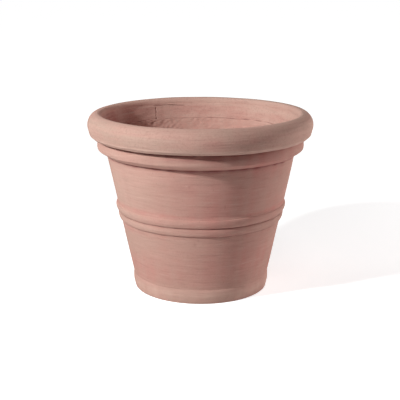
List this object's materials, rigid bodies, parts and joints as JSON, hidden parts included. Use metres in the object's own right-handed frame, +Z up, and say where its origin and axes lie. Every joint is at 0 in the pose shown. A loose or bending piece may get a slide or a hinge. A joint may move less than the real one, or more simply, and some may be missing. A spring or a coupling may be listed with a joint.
{
  "type": "terracotta flower pot",
  "caption": "Large round terracotta planter: tapered wall with a beaded waist and a foot band, an oval rim roll over a rounded collar, and a drain hole in its floor.",
  "frame": {"origin": "on the ground, at the middle of the foot", "axes": "+Z up through the middle of the mouth; -Y towards the viewer of the picture"},
  "size_m": [0.5, 0.5, 0.397],
  "materials": {
    "terracotta_smooth": "matt unglazed fired clay, wiped smooth in level streaks, with a pale bloom",
    "terracotta_inside": "matt unglazed fired clay, left rougher inside"
  },
  "bodies": {
    "root": {"floor_slab": "terracotta_inside", "corner_coil": "terracotta_inside", "foot_band": "terracotta_smooth", "lower_wall": "terracotta_smooth", "lower_waist_bead": "terracotta_smooth", "upper_waist_bead": "terracotta_smooth", "upper_wall": "terracotta_smooth", "collar_roll": "terracotta_smooth", "neck_course": "terracotta_inside", "rim_roll": "terracotta_smooth"}
  },
  "joints": []
}
